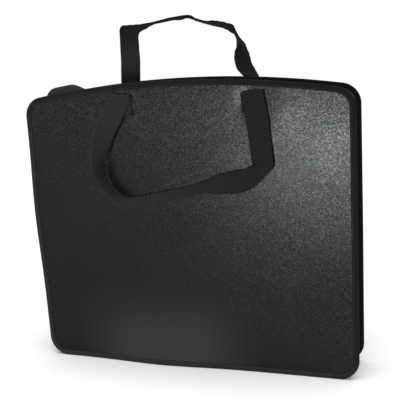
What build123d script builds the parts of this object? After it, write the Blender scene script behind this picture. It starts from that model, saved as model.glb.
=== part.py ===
"""Zip-round portfolio case: two bound panels joined by a bottom gusset and a zip.

Millimetres. X runs along the width, Y towards the back panel and Z up. The origin is on the
ground under the middle of the closed, standing case.
"""
import os
from math import asin, atan2, copysign, cos, degrees, sin, sqrt

from build123d import *

os.makedirs("parts", exist_ok=True)

# ---------------------------------------------------------------- driving dimensions
case_width = 465.0
side_height = 387.0  # where the arched top edge would meet the sides, were the corners square
arch_rise = 20.0
case_depth = 64.0
corner_radius = 28.0

binding_width = 8.0
tape_thickness = 0.8  # binding tape, gusset cloth
sheet_thickness = 1.6  # embossed cover sheet, and the patches behind the handle tabs
cover_inset = 0.8  # the sheet's edge stops inside the fold of the binding

gusset_inset = 9.0  # outer face of the gusset wall, in from the case's edge
gusset_reach = 13.0  # the wall stops this far from the parting plane
bottom_gusset_half = 27.2
zip_start = 45.5  # height at which the zip and the side walls begin
bottom_gusset_top = 45.0

zip_tape_thickness = 0.6
zip_tape_reach = 20.0
parting_half_gap = 0.6
coil_width = 2.4
coil_height = 1.6

webbing_width = 30.0
webbing_thickness = 1.6
tab_height = 30.0
tab_top = 391.0
front_tab_x = (-81.5, 102.5)
back_tab_x = (-95.0, 87.0)
patch_width = 36.0
patch_height = 38.0

# ---------------------------------------------------------------- the case's outline
half_width = case_width / 2
arch_radius = (half_width**2 + arch_rise**2) / (2 * arch_rise)
arch_centre_z = side_height + arch_rise - arch_radius
corner_x = half_width - corner_radius
top_corner_z = arch_centre_z + sqrt((arch_radius - corner_radius) ** 2 - corner_x**2)
arch_half_angle = degrees(atan2(corner_x, top_corner_z - arch_centre_z))


def case_outline(inset, mode=Mode.ADD):
    """Face bounded by the case's outline, drawn in by inset, in the sketch that is open."""
    side = half_width - inset
    bend = corner_radius - inset
    corner_sweep = 90 - arch_half_angle
    with BuildLine() as outline:
        Line((-corner_x, inset), (corner_x, inset))
        CenterArc((corner_x, corner_radius), bend, -90, 90)
        Line((side, corner_radius), (side, top_corner_z))
        CenterArc((corner_x, top_corner_z), bend, 0, corner_sweep)
        CenterArc((0, arch_centre_z), arch_radius - inset, corner_sweep, 2 * arch_half_angle)
        CenterArc((-corner_x, top_corner_z), bend, 90 + arch_half_angle, corner_sweep)
        Line((-side, top_corner_z), (-side, corner_radius))
        CenterArc((-corner_x, corner_radius), bend, 180, 90)
    make_face(outline.edges(), mode=mode)


def outline_ring(outer_inset, inner_inset, near, far):
    """Ring between two insets, from near to far in front of the parting plane."""
    with BuildPart() as ring:
        with BuildSketch(Plane.XZ.offset(near)):
            case_outline(outer_inset)
            case_outline(inner_inset, Mode.SUBTRACT)
        extrude(amount=far - near)
    return ring.part


# ---------------------------------------------------------------- layers of the front panel
half_depth = case_depth / 2
sheet_face = half_depth - tape_thickness
sheet_back = sheet_face - sheet_thickness
flange_back = sheet_back - tape_thickness
binding_back = flange_back - tape_thickness
wall_inner_inset = gusset_inset + tape_thickness

with BuildPart() as cover:
    with BuildSketch(Plane.XZ.offset(sheet_back)):
        case_outline(cover_inset)
    extrude(amount=sheet_thickness)

with BuildPart() as binding:
    add(outline_ring(0, binding_width, binding_back, half_depth))
    add(outline_ring(cover_inset, binding_width + 1, flange_back, sheet_face), mode=Mode.SUBTRACT)

with BuildPart() as gusset:
    add(outline_ring(gusset_inset, wall_inner_inset, gusset_reach, sheet_back))
    with BuildSketch(Plane.XZ):
        with Locations((0, zip_start / 2)):
            Rectangle(case_width, zip_start)
    extrude(amount=flange_back, mode=Mode.SUBTRACT)
    add(outline_ring(cover_inset, wall_inner_inset, flange_back, sheet_back))


def zip_strip(outer_inset, inner_inset, near, far):
    """Strip of the zip: up one side, over the arch and down the other side."""
    with BuildPart() as strip:
        add(outline_ring(outer_inset, inner_inset, near, far))
        with BuildSketch(Plane.XZ):
            with Locations((0, zip_start / 2)):
                Rectangle(case_width, zip_start)
        extrude(amount=far, mode=Mode.SUBTRACT)
    return strip.part


with BuildPart() as zip_tape:
    tape_inner_inset = wall_inner_inset + zip_tape_thickness
    add(zip_strip(wall_inner_inset, tape_inner_inset, parting_half_gap, zip_tape_reach))

with BuildPart() as zip_teeth:
    coil_far = parting_half_gap + coil_width
    add(zip_strip(wall_inner_inset - coil_height, wall_inner_inset, parting_half_gap, coil_far))

panel_pieces = {
    "cover": cover,
    "binding": binding,
    "gusset": gusset,
    "zip_tape": zip_tape,
    "zip_teeth": zip_teeth,
}
for name, piece in panel_pieces.items():
    piece.part.label = f"front_{name}"
    export_step(piece.part, f"parts/front_{name}.step")
    with BuildPart() as mirrored:
        mirror(piece.part, about=Plane.XZ)
    mirrored.part.label = f"back_{name}"
    export_step(mirrored.part, f"parts/back_{name}.step")

# ---------------------------------------------------------------- handle tabs and patches
tab_thickness = 2 * webbing_thickness
panel_sides = {"front": (front_tab_x, 1), "back": (back_tab_x, -1)}

for panel, (tab_centres, facing) in panel_sides.items():
    for side, centre_x in zip(("left", "right"), tab_centres):
        with BuildPart() as tab:
            with BuildSketch(Plane.XZ.offset(facing * sheet_face)):
                with Locations((centre_x, tab_top - tab_height / 2)):
                    RectangleRounded(webbing_width, tab_height, 1)
            extrude(amount=facing * tab_thickness)
        tab.part.label = f"{panel}_{side}_handle_tab"
        export_step(tab.part, f"parts/{panel}_{side}_handle_tab.step")

        with BuildPart() as patch:
            with BuildSketch(Plane.XZ.offset(facing * (sheet_back - sheet_thickness))):
                with Locations((centre_x, tab_top - patch_height / 2)):
                    RectangleRounded(patch_width, patch_height, 3)
            extrude(amount=facing * sheet_thickness)
        patch.part.label = f"{panel}_{side}_backing_patch"
        export_step(patch.part, f"parts/{panel}_{side}_backing_patch.step")

# ---------------------------------------------------------------- webbing handles
spans_per_station = 2
# Each station is a point on the webbing's centre line and the direction across its width,
# which points to the inside of the handle's loop. The list runs from the left tab to the right.
hanging_y = -half_depth - 3.6
front_stations = [
    ((-81.5, hanging_y, 390.4), (1, 0, 0)),
    ((-88, hanging_y, 374), (0.98, 0, -0.2)),
    ((-96, -37.5, 360), (0.92, 0.2, -0.35)),
    ((-104.5, -41, 345), (0.84, 0.4, -0.38)),
    ((-110, -45, 327), (0.62, 0.66, -0.38)),
    ((-114, -48, 310), (0.38, 0.85, -0.36)),
    ((-115.5, -49.5, 294.5), (0.2, 0.96, -0.2)),
    ((-113.5, -49.5, 278.5), (0.13, 0.98, -0.09)),
    ((-106.5, -49.3, 264), (0.14, 0.98, -0.06)),
    ((-96.5, -49.3, 252.6), (-0.03, 0.99, 0.05)),
    ((-85, -49.2, 245.8), (-0.13, 0.97, 0.2)),
    ((-68.8, -49, 244.3), (-0.13, 0.94, 0.32)),
    ((-47.4, -48.9, 247.6), (-0.08, 0.93, 0.36)),
    ((-22.9, -48.9, 252.4), (-0.1, 0.93, 0.34)),
    ((3.8, -48.9, 257.8), (-0.1, 0.93, 0.34)),
    ((21.7, -48.8, 262.7), (-0.12, 0.93, 0.34)),
    ((38.2, -48.3, 267.2), (-0.14, 0.89, 0.42)),
    ((58.2, -44, 270.2), (-0.12, 0.63, 0.77)),
    ((78.5, -38.5, 271.5), (-0.14, 0.25, 0.95)),
    ((96, -41, 277), (-0.42, 0.5, 0.76)),
    ((107.6, -41.5, 284.4), (-0.74, 0.55, 0.32)),
    ((113, -36.2, 293.3), (-0.98, 0.15, -0.08)),
    ((112.4, -35.5, 304.8), (-0.99, 0.12, -0.02)),
    ((111.2, -35, 320.2), (-0.99, 0.08, -0.05)),
    ((108.3, -35.8, 351.8), (-0.99, 0, -0.13)),
    ((104.5, hanging_y, 374), (-0.99, 0, -0.1)),
    ((102.5, hanging_y, 390.4), (-1, 0, 0)),
]
standing_y = half_depth + 2.0
back_stations = [
    ((-95, standing_y + 0.2, 391.6), (1, 0, 0)),
    ((-94, standing_y, 406.5), (1, 0, 0)),
    ((-92.5, standing_y, 433.5), (0.99, 0.11, -0.05)),
    ((-91.3, standing_y, 456), (1, 0.09, -0.02)),
    ((-91.8, standing_y + 0.5, 468.5), (0.99, -0.04, 0.11)),
    ((-93.5, 39, 477.5), (0.98, -0.08, 0.17)),
    ((-92.7, 52.3, 482), (0.97, -0.06, -0.25)),
    ((-90, 70.3, 483), (0.93, -0.14, -0.34)),
    ((-86, 93, 484), (0.99, -0.16, -0.07)),
    ((-82.8, 115.5, 486.6), (0.98, -0.17, 0.04)),
    ((-79.8, 129, 488.4), (0.96, -0.26, 0.03)),
    ((-74.3, 147.2, 490.5), (0.91, -0.4, -0.06)),
    ((-66.3, 159.6, 492.1), (0.6, -0.78, -0.17)),
    ((-51.1, 164, 493.6), (-0.01, -0.97, -0.25)),
    ((-37.3, 159.6, 490.6), (-0.42, -0.91, 0.04)),
    ((-22.2, 150.6, 486), (-0.55, -0.82, 0.16)),
    ((1.7, 131.4, 480), (-0.66, -0.74, 0.13)),
    ((21.7, 110, 475.3), (-0.74, -0.67, 0.08)),
    ((39.2, 88.4, 470.2), (-0.77, -0.63, 0.06)),
    ((56.8, 65.8, 465), (-0.74, -0.65, 0.19)),
    ((65.5, 54.5, 457.4), (-0.45, -0.76, 0.47)),
    ((69.1, 49, 449.7), (-0.19, -0.9, 0.4)),
    ((70.6, 47, 443), (-0.24, -0.95, 0.19)),
    ((70.5, 46, 436), (-0.47, -0.88, 0.1)),
    ((70.9, 45, 428), (-0.56, -0.83, -0.03)),
    ((72.8, 45, 419), (-0.51, -0.83, -0.22)),
    ((77.6, 45.5, 412), (-0.48, -0.85, -0.1)),
    ((83, 45.5, 404), (-0.62, -0.76, 0.15)),
    ((85.6, 40.5, 397.5), (-0.88, -0.45, 0.1)),
    ((87, standing_y + 0.2, 391.6), (-1, 0, 0)),
]


def webbing(stations):
    """Flat webbing that passes through the stations, twisting with their width directions."""
    centres = [Vector(*centre) for centre, _ in stations]
    widths = [Vector(*across).normalized() for _, across in stations]
    leaving = Vector(0, 0, copysign(1, centres[1].Z - centres[0].Z))  # upright at both tabs
    line = Spline(*centres, tangents=(leaving, -leaving))
    places = [line.param_at_point(centre) for centre in centres]
    sections = []
    for i in range(len(stations) - 1):
        for k in range(spans_per_station):
            share = k / spans_per_station
            u = places[i] + (places[i + 1] - places[i]) * share
            sections.append((line @ u, line % u, widths[i] * (1 - share) + widths[i + 1] * share))
    sections.append((line @ 1, line % 1, widths[-1]))
    corners = []
    for centre, along, across in sections:
        width = (across - along * across.dot(along)).normalized()
        half_w = width * (webbing_width / 2)
        half_t = along.cross(width) * (webbing_thickness / 2)
        corners.append(
            [centre - half_w - half_t, centre + half_w - half_t, centre + half_w + half_t, centre - half_w + half_t]
        )
    faces = [Face(Wire.make_polygon(corners[0])), Face(Wire.make_polygon(corners[-1]))]
    for near, far in zip(corners, corners[1:]):
        for k in range(4):
            a, b, c, d = near[k], near[(k + 1) % 4], far[(k + 1) % 4], far[k]
            faces.append(Face(Wire.make_polygon([a, b, c])))
            faces.append(Face(Wire.make_polygon([a, c, d])))
    return Solid(Shell(faces))


def webbing_length(stations):
    """Length of the webbing's centre line."""
    centres = [Vector(*centre) for centre, _ in stations]
    return sum((b - a).length for a, b in zip(centres, centres[1:]))


with BuildPart() as front_handle_strap:
    add(webbing(front_stations))
front_handle_strap.part.label = "front_handle_strap"
export_step(front_handle_strap.part, "parts/front_handle_strap.step")

with BuildPart() as back_handle_strap:
    add(webbing(back_stations))
back_handle_strap.part.label = "back_handle_strap"
export_step(back_handle_strap.part, "parts/back_handle_strap.step")

print("handle webbing, free length:", webbing_length(front_stations), webbing_length(back_stations))

# ---------------------------------------------------------------- bottom gusset
with BuildPart() as bottom_gusset:
    with BuildSketch(Plane.XZ):
        case_outline(gusset_inset)
        case_outline(wall_inner_inset, Mode.SUBTRACT)
        with Locations((0, bottom_gusset_top + side_height / 2)):
            Rectangle(case_width, side_height, mode=Mode.SUBTRACT)
    extrude(amount=bottom_gusset_half, both=True)
bottom_gusset.part.label = "bottom_gusset"
export_step(bottom_gusset.part, "parts/bottom_gusset.step")

end_tab_height = 16.0
end_tab_half_depth = 9.0
end_tab_middle = bottom_gusset_top - 0.2 - end_tab_height / 2
for side, turn in (("left", -1), ("right", 1)):
    with BuildPart() as end_tab:
        with BuildSketch(Plane.YZ.offset(turn * (half_width - gusset_inset))):
            with Locations((0, end_tab_middle)):
                RectangleRounded(2 * end_tab_half_depth, end_tab_height, 2)
        extrude(amount=turn * tape_thickness)
    end_tab.part.label = f"{side}_zip_end_tab"
    export_step(end_tab.part, f"parts/{side}_zip_end_tab.step")

# ---------------------------------------------------------------- zip sliders and pulls
slider_parked_x = 11.8
slider_half_length = 11.0
slider_nose_half = 6.0
slider_tail_half = 4.2
upper_plate_inset = 6.0
upper_plate = 1.5
lower_plate_inset = 10.9
lower_plate = 1.3
post_x = 7.0
post_length = 5.0
post_thickness = 0.7
bail_half_length = 7.0
bail_width = 2.4
bail_thickness = 0.9
bail_inset = 3.2
pin_x = -5.2
pin_radius = 0.7
pin_inset = 5.1
arm_gap = 3.4
arm_width = 1.2
arm_length = 9.0
pull_neck = 6.8
grip_length = 20.0
grip_slot = 7.0
pull_width = 9.0

slider_angle = asin(slider_parked_x / arch_radius)
slider_plane = Plane(
    origin=(-arch_radius * sin(slider_angle), 0, arch_centre_z + arch_radius * cos(slider_angle)),
    x_dir=(cos(slider_angle), 0, sin(slider_angle)),
    z_dir=(-sin(slider_angle), 0, cos(slider_angle)),
)
slider_side_plane = Plane(origin=slider_plane.origin, x_dir=slider_plane.x_dir, z_dir=(0, -1, 0))


def slider_plate(top_inset, thickness):
    """One plate of a slider, wide at the nose, with its top face at the inset."""
    with BuildPart() as plate:
        with BuildSketch(slider_plane.offset(-top_inset)) as shape:
            with BuildLine():
                Polyline(
                    (-slider_half_length, -slider_tail_half),
                    (slider_half_length, -slider_nose_half),
                    (slider_half_length, slider_nose_half),
                    (-slider_half_length, slider_tail_half),
                    close=True,
                )
            make_face()
            fillet(shape.vertices(), 2)
        extrude(amount=-thickness)
    return plate.part


with BuildPart() as left_slider_body:
    add(slider_plate(upper_plate_inset, upper_plate))
    add(slider_plate(lower_plate_inset, lower_plate))
    with BuildSketch(slider_plane.offset(-upper_plate_inset)):
        with Locations((post_x, 0)):
            Rectangle(post_length, post_thickness)
    extrude(amount=upper_plate_inset - lower_plate_inset)
    with BuildSketch(slider_side_plane) as bail:
        with Locations((0, -upper_plate_inset)):
            Rectangle(2 * bail_half_length, 2 * (upper_plate_inset - bail_inset))
        fillet(bail.vertices().group_by(Axis.Z)[-1], 1.2)
        with Locations((0, -upper_plate_inset)):
            Rectangle(
                2 * (bail_half_length - bail_thickness),
                2 * (upper_plate_inset - bail_inset - bail_thickness),
                mode=Mode.SUBTRACT,
            )
        with Locations((0, -upper_plate_inset - upper_plate - bail_half_length)):
            Rectangle(case_depth, 2 * bail_half_length, mode=Mode.SUBTRACT)
    extrude(amount=bail_width / 2, both=True)

with BuildPart() as left_slider_pull:
    with BuildSketch(slider_side_plane):
        with Locations((pin_x, -pin_inset)):
            Circle(pin_radius)
    extrude(amount=arm_gap / 2 + arm_width, both=True)
    with BuildSketch(slider_plane.offset(-pin_inset)):
        arm_y = (arm_gap + arm_width) / 2
        with Locations((pin_x - arm_length / 2, arm_y), (pin_x - arm_length / 2, -arm_y)):
            Rectangle(arm_length, arm_width)
        with Locations((pin_x - pull_neck - grip_length / 2, 0)):
            RectangleRounded(grip_length, pull_width, 3)
        with Locations((pin_x - pull_neck - grip_length + grip_slot, 0)):
            SlotOverall(grip_slot, pull_width / 3, mode=Mode.SUBTRACT)
    extrude(amount=pin_radius, both=True)

for name, piece in {"slider_body": left_slider_body, "slider_pull": left_slider_pull}.items():
    piece.part.label = f"left_{name}"
    export_step(piece.part, f"parts/left_{name}.step")
    with BuildPart() as mirrored:
        mirror(piece.part, about=Plane.YZ)
    mirrored.part.label = f"right_{name}"
    export_step(mirrored.part, f"parts/right_{name}.step")
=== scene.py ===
"""Looks of the zip-round portfolio case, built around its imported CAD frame.

Lengths are in metres, apart from the handles' stations, which are in mm."""

from math import atan2, ceil, cos, exp, hypot, pi, radians, sin, sqrt

import bmesh
import bpy
from mathutils import Matrix, Vector, noise


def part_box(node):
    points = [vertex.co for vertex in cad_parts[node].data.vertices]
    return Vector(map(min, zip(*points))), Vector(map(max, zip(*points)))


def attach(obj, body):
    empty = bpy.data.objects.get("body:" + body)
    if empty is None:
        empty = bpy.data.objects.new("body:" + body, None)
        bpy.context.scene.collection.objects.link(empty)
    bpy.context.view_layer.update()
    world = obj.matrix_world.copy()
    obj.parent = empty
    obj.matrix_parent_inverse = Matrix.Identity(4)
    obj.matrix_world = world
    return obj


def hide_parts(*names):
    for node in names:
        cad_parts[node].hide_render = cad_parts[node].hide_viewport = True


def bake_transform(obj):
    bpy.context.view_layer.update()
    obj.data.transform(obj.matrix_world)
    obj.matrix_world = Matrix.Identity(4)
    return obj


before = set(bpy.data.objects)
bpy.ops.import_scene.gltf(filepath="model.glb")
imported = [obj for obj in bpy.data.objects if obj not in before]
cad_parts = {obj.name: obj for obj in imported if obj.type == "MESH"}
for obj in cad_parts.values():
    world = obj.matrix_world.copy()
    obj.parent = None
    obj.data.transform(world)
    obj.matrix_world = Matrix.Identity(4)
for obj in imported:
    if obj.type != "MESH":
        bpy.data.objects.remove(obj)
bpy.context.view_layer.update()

MM = 0.001
BOXES = {}


def box(node):
    """Low and high corners of a CAD node, kept so that each is measured once."""
    if node not in BOXES:
        BOXES[node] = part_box(node)
    return BOXES[node]


# ---------- sizes, measured on the frame or the same as in the CAD
rim_low, rim_high = box("front_binding")
HALF_WIDTH = rim_high.x
CROWN = rim_high.z
HALF_DEPTH = -rim_low.y
CORNER = 28 * MM
ARCH_RISE = 20 * MM
ARCH_RADIUS = (HALF_WIDTH**2 + ARCH_RISE**2) / (2 * ARCH_RISE)
ARCH_CENTRE = CROWN - ARCH_RADIUS
CORNER_X = HALF_WIDTH - CORNER
TOP_CORNER = ARCH_CENTRE + sqrt((ARCH_RADIUS - CORNER) ** 2 - CORNER_X**2)
ARCH_HALF_ANGLE = atan2(CORNER_X, TOP_CORNER - ARCH_CENTRE)

TAPE = 0.8 * MM
SHEET = 1.6 * MM
SHEET_FACE = HALF_DEPTH - TAPE
SHEET_BACK = SHEET_FACE - SHEET
FLANGE_BACK = SHEET_BACK - TAPE
BINDING_BACK = FLANGE_BACK - TAPE
BINDING_WIDTH = 8 * MM
COVER_INSET = 0.8 * MM
GUSSET_INSET = 9 * MM
ZIP_START = box("front_zip_tape")[0].z
BASE_TOP = box("bottom_gusset")[1].z
BASE_HALF = box("bottom_gusset")[1].y
GUSSET_REACH = -box("front_gusset")[1].y
ZIP_REACH = -box("front_zip_tape")[0].y
WEBBING = 30 * MM
WEBBING_THICK = 1.7 * MM  # a little over the CAD's 1.6 mm
TAB_TOP = box("front_left_handle_tab")[1].z
TAB_LOW = box("front_left_handle_tab")[0].z

FACING = {"front": -1, "back": 1}


# ---------- small helpers
def smooth(value, low, high):
    """0 below low, 1 above high, and an even S between."""
    t = min(1, max(0, (value - low) / (high - low)))
    return t * t * (3 - 2 * t)


def bell(distance, width):
    """1 at no distance, falling off smoothly over about width."""
    return exp(-((distance / width) ** 2))


def ripple(x, y, z, size):
    """Smooth noise between about -1 and 1 whose bumps are about size across."""
    return noise.noise(Vector((x, y, z)) / size)


def link(obj):
    """Puts a new object into the scene."""
    bpy.context.scene.collection.objects.link(obj)
    return obj


# ---------- the case's outline
class Station:
    """A point on the case's edge: its place, the direction into the case and the way round."""

    def __init__(self, x, z, inward_x, inward_z, along):
        self.x, self.z = x, z
        self.inward_x, self.inward_z = inward_x, inward_z
        self.along = along

    def at(self, inset, out, facing):
        """Point drawn in by inset and out from the parting plane, on the side that faces facing."""
        return Vector((self.x + self.inward_x * inset, facing * out, self.z + self.inward_z * inset))

    def towards(self, other, t):
        """Station at share t of the way to another one."""
        pairs = zip(self.numbers(), other.numbers())
        return Station(*(a + (b - a) * t for a, b in pairs))

    def numbers(self):
        return self.x, self.z, self.inward_x, self.inward_z, self.along


def trace_outline(straight_step, corner_step):
    """Stations round the whole edge, from the middle of the bottom up the right side."""
    stations = []
    along = 0.0

    def straight(x0, z0, x1, z1):
        nonlocal along
        length = hypot(x1 - x0, z1 - z0)
        count = max(1, ceil(length / straight_step))
        inward_x, inward_z = -(z1 - z0) / length, (x1 - x0) / length
        for k in range(count):
            t = k / count
            x, z = x0 + (x1 - x0) * t, z0 + (z1 - z0) * t
            stations.append(Station(x, z, inward_x, inward_z, along + length * t))
        along += length

    def arc(centre_x, centre_z, radius, start, sweep, step):
        nonlocal along
        count = max(2, ceil(radius * sweep / step))
        for k in range(count):
            angle = start + sweep * k / count
            c, s = cos(angle), sin(angle)
            x, z = centre_x + radius * c, centre_z + radius * s
            stations.append(Station(x, z, -c, -s, along + radius * sweep * k / count))
        along += radius * sweep

    bend = pi / 2 - ARCH_HALF_ANGLE
    straight(0, 0, CORNER_X, 0)
    arc(CORNER_X, CORNER, CORNER, -pi / 2, pi / 2, corner_step)
    straight(HALF_WIDTH, CORNER, HALF_WIDTH, BASE_TOP)
    straight(HALF_WIDTH, BASE_TOP, HALF_WIDTH, ZIP_START)
    straight(HALF_WIDTH, ZIP_START, HALF_WIDTH, TOP_CORNER)
    arc(CORNER_X, TOP_CORNER, CORNER, 0, bend, corner_step)
    arc(0, ARCH_CENTRE, ARCH_RADIUS, bend, 2 * ARCH_HALF_ANGLE, straight_step)
    arc(-CORNER_X, TOP_CORNER, CORNER, pi / 2 + ARCH_HALF_ANGLE, bend, corner_step)
    straight(-HALF_WIDTH, TOP_CORNER, -HALF_WIDTH, ZIP_START)
    straight(-HALF_WIDTH, ZIP_START, -HALF_WIDTH, BASE_TOP)
    straight(-HALF_WIDTH, BASE_TOP, -HALF_WIDTH, CORNER)
    arc(-CORNER_X, CORNER, CORNER, pi, pi / 2, corner_step)
    straight(-CORNER_X, 0, 0, 0)
    return stations, along


EDGE, PERIMETER = trace_outline(4 * MM, 2.4 * MM)
ZIP_RUN = [s for s in EDGE if s.z > ZIP_START - 1e-6]
base_left = [s for s in EDGE if s.z < BASE_TOP + 1e-6 and s.x < -1e-6]
base_right = [s for s in EDGE if s.z < BASE_TOP + 1e-6 and s.x > -1e-6]
BASE_RUN = base_left + base_right


# ---------- how the panels bow
BOW = 6.5 * MM  # the front panel's lower edge stands out this far, left of the middle
BOW_X = -50 * MM
BACK_BOW = 3 * MM
EDGE_BOW = 5.3 * MM  # the front panel's left edge and the back panel's right edge stand out too


def panel_bow(x, z, facing):
    """How far a panel's sheet and rim stand out from their flat place at rest."""
    loose = 0.35 * MM * ripple(x, facing, z, 130 * MM)
    if facing < 0:
        side = EDGE_BOW * bell(x + HALF_WIDTH, 75 * MM) * bell(z - 225 * MM, 80 * MM)
        return loose + side + BOW * bell(x - BOW_X, 80 * MM) * bell(z, 95 * MM)
    side = 0.85 * EDGE_BOW * bell(x - HALF_WIDTH, 60 * MM) * bell(z - 210 * MM, 130 * MM)
    return loose + side + BACK_BOW * bell(x - 70 * MM, 110 * MM) * bell(z - 180 * MM, 150 * MM)


def tab_dent(x, z, facing):
    """How the sewn tabs pull the sheet in round them, below 0 as it is inwards."""
    total = 0.0
    for side in ("left", "right"):
        low, high = box(f"{'front' if facing < 0 else 'back'}_{side}_handle_tab")
        middle_x, middle_z = (low.x + high.x) / 2, (low.z + high.z) / 2
        total -= 0.5 * MM * bell(hypot(x - middle_x, z - middle_z), 26 * MM)
    return total


# The front sheet is pulled in at the right tab's edge and stands up beside it: place, height, width.
PUCKERS = ((96 * MM, 376 * MM, -2.2 * MM, 12 * MM), (140 * MM, 372 * MM, 0.5 * MM, 20 * MM))


def sheet_lift(x, z, facing):
    """How far the face of a panel's sheet stands out from its flat place."""
    lift = panel_bow(x, z, facing) + tab_dent(x, z, facing)
    if facing < 0:
        for at_x, at_z, height, width in PUCKERS:
            lift += height * bell(hypot(x - at_x, (z - at_z) * 0.7), width)
    return lift


# ---------- mesh building
def make_object(name, verts, faces, uvs=None):
    """A mesh object, with a "weave" UV map in metres where uvs gives one pair per face corner."""
    mesh = bpy.data.meshes.new(name)
    mesh.from_pydata([tuple(v) for v in verts], [], faces)
    if uvs is not None:
        layer = mesh.uv_layers.new(name="weave")
        layer.data.foreach_set("uv", [c for face in uvs for uv in face for c in uv])
    mesh.validate()
    mesh.update()
    mesh.shade_smooth()
    return link(bpy.data.objects.new(name, mesh))


def loft_mesh(rings, closed_path, around, along):
    """Faces and UVs of a tube through rings, which all have the same closed loop of points."""
    count, size = len(rings), len(rings[0])
    verts = [p for ring in rings for p in ring]
    faces, uvs = [], []
    for i in range(count if closed_path else count - 1):
        j = (i + 1) % count
        u0 = along[i]
        u1 = along[i + 1] if i + 1 < len(along) else along[i] + (along[i] - along[i - 1])
        for k in range(size):
            m = (k + 1) % size
            v0, v1 = around[k], around[k + 1]
            faces.append((i * size + k, i * size + m, j * size + m, j * size + k))
            uvs.append(((u0, v0), (u0, v1), (u1, v1), (u1, v0)))
    if not closed_path:
        for i, order in ((0, 1), (count - 1, -1)):
            cap = [i * size + k for k in range(size)][::order]
            faces.append(tuple(cap))
            uvs.append(tuple((along[i], around[k]) for k in range(size)))
    return verts, faces, uvs


def tube_faces(first, count, size):
    """Faces between count rings of size points each, numbered from first, and over both ends."""
    last = first + (count - 1) * size
    faces = []
    for low in range(first, last, size):
        for k in range(size):
            m = (k + 1) % size
            faces.append((low + k, low + m, low + size + m, low + size + k))
    faces.append(tuple(range(first, first + size))[::-1])
    faces.append(tuple(range(last, last + size)))
    return faces


def loop_lengths(loop):
    """Length round a closed loop of points, up to each point and back to the first."""
    total, lengths = 0.0, [0.0]
    for p, q in zip(loop, loop[1:] + loop[:1]):
        total += (Vector(q) - Vector(p)).length
        lengths.append(total)
    return lengths


def recalculate(obj):
    """Turns every face outwards."""
    work = bmesh.new()
    work.from_mesh(obj.data)
    bmesh.ops.recalc_face_normals(work, faces=work.faces)
    work.to_mesh(obj.data)
    work.free()
    return obj


def edge_sweep(name, run, profile, facing, closed_path=False, shift=None):
    """Sweeps a closed profile of (inset, out) points along part of the case's edge."""
    rings = []
    for station in run:
        ring = []
        for inset, out in profile:
            if shift:
                inset, out = shift(station, inset, out)
            ring.append(station.at(inset, out, facing))
        rings.append(ring)
    around = loop_lengths(profile)
    along = [s.along for s in run]
    if closed_path:
        along = along + [PERIMETER]
    obj = make_object(name, *loft_mesh(rings, closed_path, around, along))
    return recalculate(obj)


def polyline_steps(points, normals, step):
    """Places every step along a polyline, each with the direction it runs in and its normal."""
    steps = []
    spare = 0.0
    for p, q, normal in zip(points, points[1:], normals):
        length = (q - p).length
        if length < 1e-9:
            continue
        direction = (q - p) / length
        reach = spare
        while reach < length:
            steps.append((p + direction * reach, direction, normal))
            reach += step
        spare = reach - length
    return steps


THREAD = 0.32 * MM


def stitches(name, rows, body, slot, pitch=3.0 * MM, length=2.3 * MM):
    """Rows of single stitches as one object; each row is a list of points and one of normals.

    A stitch is a short thread that dips into the cloth at both ends."""
    sides = 6
    # Share of the length, then the thread's size and how high it stands, both in thread radii.
    levels = ((-0.5, 0.35, -0.9), (-0.36, 0.95, 0.15), (0, 1, 0.55), (0.36, 0.95, 0.15), (0.5, 0.35, -0.9))
    verts, faces = [], []
    for points, normals in rows:
        for place, direction, normal in polyline_steps(points, normals, pitch):
            across = direction.cross(normal).normalized()
            faces += tube_faces(len(verts), len(levels), sides)
            for offset, size, lift in levels:
                centre = place + direction * (offset * length) + normal * (lift * THREAD)
                for k in range(sides):
                    angle = 2 * pi * k / sides
                    verts.append(centre + (across * cos(angle) + normal * sin(angle)) * (THREAD * size))
    thread = recalculate(make_object(name, verts, faces))
    dress(thread, slot, "thread")
    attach(thread, body)


def soften(obj, width, segments):
    """Rounds an object's sharp edges."""
    bevel = obj.modifiers.new("soft edges", "BEVEL")
    bevel.width = width
    bevel.segments = segments
    bevel.limit_method = "ANGLE"
    bevel.angle_limit = radians(30)
    bevel.harden_normals = False
    return obj


def copy_of(node, name):
    """A new object with a CAD node's shape, cleaned up so that its edges can be rounded."""
    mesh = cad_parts[node].data.copy()
    mesh.materials.clear()
    work = bmesh.new()
    work.from_mesh(mesh)
    bmesh.ops.remove_doubles(work, verts=work.verts, dist=1e-6)
    bmesh.ops.dissolve_limit(work, angle_limit=radians(1), verts=work.verts, edges=work.edges)
    bmesh.ops.recalc_face_normals(work, faces=work.faces)
    work.to_mesh(mesh)
    work.free()
    mesh.shade_smooth()
    return link(bpy.data.objects.new(name, mesh))


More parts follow.
